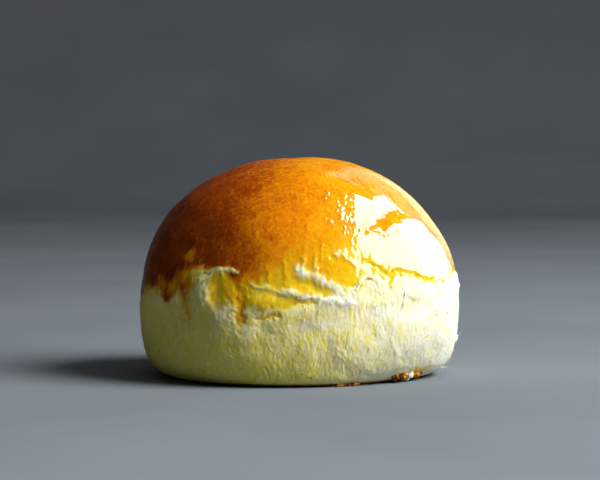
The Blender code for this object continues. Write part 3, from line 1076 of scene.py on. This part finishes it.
@dataclass(frozen=True)
class Crumb:
    """The torn crumb: the flat foot and the fibrous sides, up to a margin that dives under the crust."""

    surface: Surface
    columns: int = 900
    foot_rows: int = 4
    side_rows: int = 92
    margin_rows: int = 6
    cap_rows: int = 3
    margin_radius: float = 0.34 * MM
    cap_depth: float = 2.5 * MM

    def net(self) -> tuple[Array, Array, Array]:
        """Azimuth, arc length from the edge and depth below the surface of each row and column.

        The rows run out over the foot, up the side and round the margin's half circle to its inside.
        """
        azimuth = azimuths(self.columns)
        edge = self.surface.form.edge_arc(azimuth)
        seam = self.surface.seam(azimuth)
        stop = seam + self.surface.lap
        foot_radius = self.surface.form.foot_radius
        foot = foot_radius * np.linspace(0.1, 0.96, self.foot_rows)[:, None] - edge
        start = foot_radius - edge
        end = stop - self.margin_radius
        side = start + (end - start) * np.linspace(0, 1, self.side_rows + 1)[:-1, None]
        turn = np.linspace(0, math.pi, self.margin_rows)[:, None]
        margin = stop - self.margin_radius * (1 - np.sin(turn))
        margin_depth = self.margin_radius * (1 - np.cos(turn)) + 0 * margin
        above = np.concatenate([foot, side, margin])
        depth = np.concatenate([np.zeros_like(foot), np.zeros_like(side), margin_depth])
        depth += self.surface.dive * ramp(above - seam, -0.3 * self.surface.lap, self.surface.lap) ** 2
        return np.broadcast_to(azimuth, above.shape), above, depth

    def build(self, material: bpy.types.Material) -> tuple[bpy.types.Object, Array, Array, Array]:
        """The crumb, finished and riding on the bun.

        Returns:
            The piece, its outer points in rows and columns from the foot's edge to the margin, their
            normals and how far skin covers them.
        """
        shaped, values = self.surface.shaped(*self.net())
        share = np.linspace(0, 0.9, self.cap_rows + 1)[1:, None, None]
        middle = np.array([0, 0, shaped[-1, :, 2].mean()])
        cap = shaped[-1] + (middle - shaped[-1]) * share
        cap -= np.array([0, 0, self.cap_depth]) * ramp(share, 0, 0.3)
        inside = np.zeros(cap.shape[:2])
        skinned = values["skin"]
        values = {key: np.concatenate([value, inside]) for key, value in values.items()}
        body = closed_mesh("torn_crumb", np.concatenate([shaped, cap]), values)
        sides = slice(self.foot_rows, self.foot_rows + self.side_rows)
        return dress(body, material), shaped[sides], grid_normals(shaped)[sides], skinned[sides]


@dataclass(frozen=True)
class Strands:
    """Loose strands on the torn crumb: tapered, bent and flattened rods, joined in one mesh.

    A fixed place, for a strand beside the random ones, is an azimuth in degrees and a height in millimetres.
    """

    name: str
    count: int
    length: tuple[float, float]
    width: tuple[float, float]
    flatness: float
    lean: float
    rings: int
    sides: int
    seed: int
    lowest: float = 1.2 * MM
    top_share: float = 1.0
    spare_rows: int = 6
    upward: float = 0.5
    sink: float = 0.15 * MM
    slant: float = 0.55
    least_lean: float = 0.1
    curl: tuple[float, float] = (-0.3, 0.6)
    sway: float = 0.3
    tip: float = 0.06
    most_skin: float = 0.3
    fixed: tuple[tuple[float, float], ...] = ()

    def roots(self, points: Array, skinned: Array, draw: np.random.Generator) -> tuple[Array, Array]:
        """Rows and columns of the net at which the strands root in bare crumb, the fixed places last."""
        lowest_row = int(len(points) * (1 - self.top_share))
        rows = draw.integers(lowest_row, len(points) - self.spare_rows, self.count)
        columns = draw.integers(0, points.shape[1], self.count)
        for azimuth, height in self.fixed:
            row, column = nearest(points, math.radians(azimuth), height * MM)
            rows, columns = np.append(rows, row), np.append(columns, column)
        kept = (points[rows, columns, 2] > self.lowest) & (skinned[rows, columns] < self.most_skin)
        return rows[kept], columns[kept]

    def build(self, points: Array, normals: Array, skinned: Array, skin: Surface,
              material: bpy.types.Material) -> bpy.types.Object:
        """The strands, finished and riding on the bun.

        Each strand's line starts along the surface, mostly up or down, and bends away from it by a share
        that grows with the square of the way along. Its section is a flattened ring that tapers to a point.

        Args:
            points: the surface's net.
            normals: the net's normals.
            skinned: how far skin covers each point of the net, from 0 to 1.
            skin: the bun's surface, from which the strands take their painted shade tint.
            material: the strands' material.

        Returns:
            The piece.
        """
        draw = np.random.default_rng(self.seed)
        rows, columns = self.roots(points, skinned, draw)
        number = len(rows)
        root, normal = points[rows, columns], normals[rows, columns]
        length = draw.uniform(*self.length, number)[:, None, None]
        width = draw.uniform(*self.width, number)[:, None, None, None]
        side = unit(np.cross(np.array([0, 0, 1.0]), normal))
        upright = np.cross(normal, side)
        slant = draw.normal(0, self.slant, number)[:, None]
        along = unit(upright * np.where(draw.random(number) < self.upward, 1, -1)[:, None] + side * slant)
        along = unit(along + normal * draw.uniform(self.least_lean, self.lean, number)[:, None])
        bend = draw.uniform(*self.curl, number)[:, None] * normal
        bend = bend + draw.normal(0, self.sway, number)[:, None] * side
        share = np.linspace(0, 1, self.rings)[None, :, None]
        line = root[:, None] - normal[:, None] * self.sink + along[:, None] * share * length
        line = line + bend[:, None] * share**2 * length
        across = unit(np.cross(along, normal))
        thick = np.cross(along, across)
        turn = np.linspace(0, 2 * math.pi, self.sides, endpoint=False)[None, None, :, None]
        taper = (1 - share**1.6)[..., None] * (1 - self.tip) + self.tip
        section = across[:, None, None] * np.cos(turn) + thick[:, None, None] * np.sin(turn) * self.flatness
        grid = line[:, :, None] + section * width / 2 * taper
        grid[..., 2] = np.maximum(grid[..., 2], 0.02 * MM)
        mesh = tubes(self.name, grid)
        give(mesh, "shade_tint", skin.painted_shade_tint(np.arctan2(grid[..., 1], grid[..., 0]), grid[..., 2]))
        return dress(placed(mesh), material)


@dataclass(frozen=True)
class Lumps:
    """Small uneven lumps stuck to the bun, joined in one mesh.

    Each place is an azimuth in degrees, then a height and a radius in millimetres.
    """

    name: str
    places: tuple[tuple[float, float, float], ...]
    flatness: float
    seed: int
    across: int = 20
    down: int = 13
    # The painted shade tint that every point of the lumps carries.
    shade_tint: float = 0.75
    slimmest: float = 0.55

    def build(self, surface: Array, material: bpy.types.Material, slot: Slot) -> bpy.types.Object:
        """The lumps, finished and riding on the bun.

        Each lump is a ball in polar angles, squeezed against the surface and pushed in and out by noise.

        Args:
            surface: the crumb's net, to which the lumps stick.
            material: the lumps' material.
            slot: not used.

        Returns:
            The piece.
        """
        draw = np.random.default_rng(self.seed)
        places = np.array(self.places) * np.array([math.pi / 180, MM, MM])
        round_, down = np.meshgrid(np.linspace(0, 2 * math.pi, self.across, endpoint=False),
                                   np.linspace(math.pi * 0.985, math.pi * 0.015, self.down))
        ball = np.stack([np.cos(round_) * np.sin(down), np.sin(round_) * np.sin(down), np.cos(down)], axis=-1)
        balls = []
        for number, (angle, height, radius) in enumerate(places):
            middle = surface[nearest(surface, angle, height)]
            noise = Noise(self.seed + 7 * number)
            shaped = ball * (1 + 0.45 * noise.over(ball, 0.9) + 0.20 * noise.over(ball, 0.35))[..., None]
            turned, _ = np.linalg.qr(draw.normal(size=(3, 3)))
            turned *= np.sign(np.linalg.det(turned))
            shaped = (shaped * draw.uniform(self.slimmest, 1.0, 3)) @ turned.T
            outward = np.array([math.cos(angle), math.sin(angle), 0])
            inward = (shaped @ outward)[..., None] * outward * (1 - self.flatness)
            balls.append(middle + (shaped - inward) * radius)
            balls[-1][..., 2] = np.maximum(balls[-1][..., 2], 0.05 * MM)
        mesh = tubes(self.name, np.stack(balls))
        give(mesh, "shade_tint", np.full(len(mesh.vertices), self.shade_tint))
        return dress(placed(mesh), material)


@dataclass(frozen=True)
class Panel:
    """A soft light: its middle, size and power, and what it lights."""

    name: str
    middle: tuple[float, float, float]
    size: tuple[float, float]
    watts: float
    lights_matte: bool = True
    lights_gloss: bool = True
    faces: float | None = None

    def build(self) -> None:
        """Hangs the light so that it faces the bun, or upright with its back to the azimuth it faces."""
        data = bpy.data.lights.new(self.name, "AREA")
        data.shape = "RECTANGLE"
        data.size, data.size_y = self.size
        data.energy = self.watts
        lamp = bpy.data.objects.new(self.name, data)
        place = np.array(self.middle)
        away = unit(place - np.array([0, 0, AIM_HEIGHT]))
        lamp.location = self.middle
        tilt, turn = math.acos(away[2]), math.atan2(away[1], away[0])
        if self.faces is not None:
            tilt, turn = math.pi / 2, math.radians(self.faces)
        lamp.rotation_euler = (tilt, 0, turn + math.pi / 2)
        lamp.visible_camera = False
        lamp.visible_diffuse = self.lights_matte
        lamp.visible_glossy = self.lights_gloss
        bpy.context.scene.collection.objects.link(lamp)


@dataclass(frozen=True)
class Studio:
    """A pale floor that sweeps up behind the bun, soft light mostly from the right, and the camera."""

    half_width: float = 3.0
    front: float = -3.0
    back: float = 1.1
    bend: float = 0.6
    wall: float = 1.6
    camera_distance: float = 0.55
    camera_elevation: float = math.radians(2.6)
    camera_aim: tuple[float, float, float] = (0.3 * MM, 0.0, 31.6 * MM)
    lens: float = 140.0
    floor_finish: PlainFinish = PlainFinish("pale_floor", (0.225, 0.252, 0.278), (0.195, 0.222, 0.248), 120)
    world_colour: Colour = (0.78, 0.78, 0.80)
    world_strength: float = 0.018
    panels: tuple[Panel, ...] = (
        Panel("window", (0.70, -0.30, 0.65), (0.60, 0.50), 17.0, lights_gloss=False),
        Panel("window_gloss", (0.988, 0.159, 0.633), (1.71, 1.065), 110.0, lights_matte=False, faces=10.0),
        Panel("window_top", (0.985, 0.174, 1.40), (1.10, 0.45), 30.0, lights_matte=False, faces=10.0),
        Panel("window_side", (0.45, 1.00, 0.28), (0.42, 0.44), 1.5, lights_matte=False, faces=66.0),
        Panel("window_haze", (0.506, 1.086, 0.62), (0.642, 0.85), 2.6, lights_matte=False, faces=65.0),
        Panel("overhead", (0.25, -0.25, 0.95), (0.7, 0.7), 0.8, lights_gloss=False),
        Panel("fill", (-0.9, -1.0, 0.7), (1.2, 1.2), 0.15, lights_gloss=False),
        Panel("back_fill", (-0.4, 1.0, 0.8), (1.4, 0.8), 0.9, lights_gloss=False),
    )

    def floor(self) -> bpy.types.Object:
        """The floor and backdrop: a line that runs back, bends up by a quarter circle and rises."""
        turn = np.linspace(0, math.pi / 2, 24)
        along = np.concatenate([[self.front], self.back + self.bend * np.sin(turn), [self.back + self.bend]])
        up = np.concatenate([[0], self.bend * (1 - np.cos(turn)), [self.wall]])
        sides = np.array([-self.half_width, self.half_width])
        grid = np.stack(np.broadcast_arrays(sides[None, :], along[:, None], up[:, None]), axis=-1)
        index = np.arange(grid.shape[0] * 2).reshape(-1, 2)
        quads = np.stack([index[:-1, 0], index[:-1, 1], index[1:, 1], index[1:, 0]], axis=-1)
        return placed(mesh_of("floor", grid.reshape(-1, 3), quads, np.zeros((0, 3), dtype=int)))

    def build(self) -> None:
        """Sets up floor, lights, world, colour and camera."""
        floor = self.floor()
        floor.data.materials.append(self.floor_finish.material())
        for panel in self.panels:
            panel.build()
        scene = bpy.context.scene
        world = bpy.data.worlds.new("studio")
        world.use_nodes = True
        background = world.node_tree.nodes["Background"]
        background.inputs["Color"].default_value = (*self.world_colour, 1.0)
        background.inputs["Strength"].default_value = self.world_strength
        scene.world = world
        scene.view_settings.view_transform = "Standard"
        scene.view_settings.look = "None"
        camera = bpy.data.objects.new("camera", bpy.data.cameras.new("camera"))
        camera.data.lens = self.lens
        back = np.array([0, -math.cos(self.camera_elevation), math.sin(self.camera_elevation)])
        camera.location = np.array(self.camera_aim) + back * self.camera_distance
        camera.rotation_euler = (math.pi / 2 - self.camera_elevation, 0, 0)
        scene.collection.objects.link(camera)
        scene.camera = camera


def report(piece: bpy.types.Object) -> None:
    """Logs a piece's name and number of triangles."""
    triangles = sum(len(face.vertices) - 2 for face in piece.data.polygons)
    log.info("%s: %d triangles", piece.name, triangles)


def main() -> None:
    """Builds the bun's pieces in order, then the studio."""
    form = BunForm()
    skin = Surface(form, Fit(form))
    crumb_finish = BunFinish("torn_crumb").material()
    bit_finish = BitFinish().material()
    report(Crust(skin).build(BunFinish("glazed_crust").material()))
    body, surface, normals, skinned = Crumb(skin).build(crumb_finish)
    report(body)
    fuzz = Strands("crumb_fuzz", 2400, (0.5 * MM, 1.6 * MM), (0.06 * MM, 0.13 * MM), 0.6, 0.16, 4, 3, 91)
    flaps = Strands("rim_flaps", 220, (0.5 * MM, 1.4 * MM), (0.3 * MM, 0.7 * MM), 0.22, 0.10, 5, 6, 93,
                    top_share=0.11, upward=0.6, sink=0.10 * MM)
    wisps = Strands("torn_wisps", 200, (0.8 * MM, 2.0 * MM), (0.3 * MM, 0.6 * MM), 0.3, 0.16, 5, 6, 92,
                    fixed=((-2, 21.0), (-1, 7.9), (-3, 8.6)))
    for strands in (fuzz, wisps, flaps):
        report(strands.build(surface, normals, skinned, skin, crumb_finish))
    bits = Lumps("caramel_bits", ((-75.5, 0.6, 0.7), (-73.2, 0.6, 1.1), (-70.8, 0.5, 1.3), (-68.2, 0.5, 1.0),
                                  (-65.8, 0.5, 1.3), (-63.2, 0.5, 0.8), (-45.6, 1.7, 1.0), (-43.6, 1.6, 1.5),
                                  (-41.4, 1.8, 1.3), (-39.6, 2.2, 0.8), (-32.6, 1.8, 0.9), (-30.6, 1.7, 1.4),
                                  (-28.6, 1.8, 0.8),
                                  (48, 0.5, 1.1), (54, 0.5, 0.8), (121, 0.5, 1.2), (166, 0.5, 1.0)), 0.7, 95)
    specks = Lumps("specks", ((-88.5, 3.2, 0.28), (-85, 2.5, 0.32), (-20, 6, 0.22), (70, 9, 0.28),
                              (150, 5, 0.3), (-150, 7, 0.25)), 0.4, 131)
    # The drip carries a light painted shade tint, so it reads pale.
    drip = Lumps("crumb_drip", ((-36.4, 2.1, 1.1), (-36.1, 1.3, 1.3), (-35.8, 0.7, 0.9)), 0.7, 171, shade_tint=0.3)
    report(drip.build(surface, crumb_finish, Slot.CRUMB))
    for lumps in (bits, specks):
        report(lumps.build(surface, bit_finish, Slot.BAKED))
    Studio().build()


if __name__ == "__main__":
    main()
